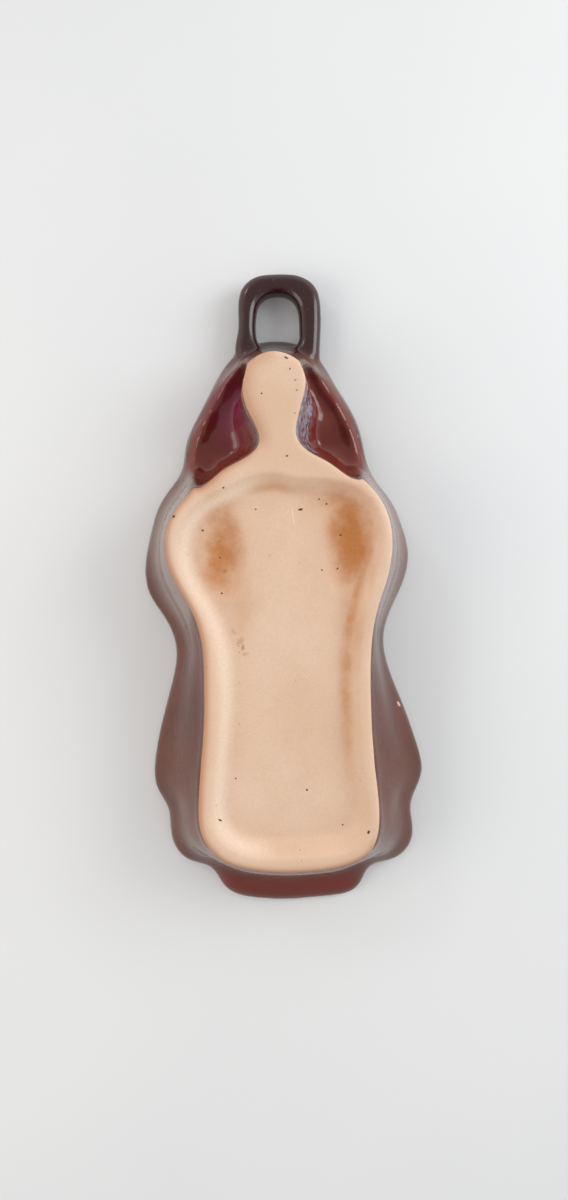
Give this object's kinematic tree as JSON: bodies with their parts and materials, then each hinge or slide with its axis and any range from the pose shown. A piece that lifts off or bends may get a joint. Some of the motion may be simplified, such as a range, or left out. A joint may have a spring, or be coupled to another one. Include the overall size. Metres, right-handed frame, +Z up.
{
  "type": "glazed earthenware figure mould",
  "caption": "Hollow glazed earthenware mould in a robed figure's outline, with a bare clay foot, pockets beside the neck and a clay hanging loop.",
  "frame": {"origin": "middle of the bounding box at the rim's glazed face, which the mould lies on", "axes": "+Z up out of the bare foot, +Y along the mould towards the hanging loop, +X to the right seen from above"},
  "size_m": [0.1193, 0.2712, 0.04],
  "materials": {
    "fired_clay": "matt",
    "brown_glaze": "gloss"
  },
  "bodies": {
    "root": {"clay_body": "fired_clay", "hanging_loop": "fired_clay", "outer_glaze": "brown_glaze", "loop_glaze": "brown_glaze", "rim_glaze": "brown_glaze", "cavity_glaze": "brown_glaze"}
  },
  "joints": []
}
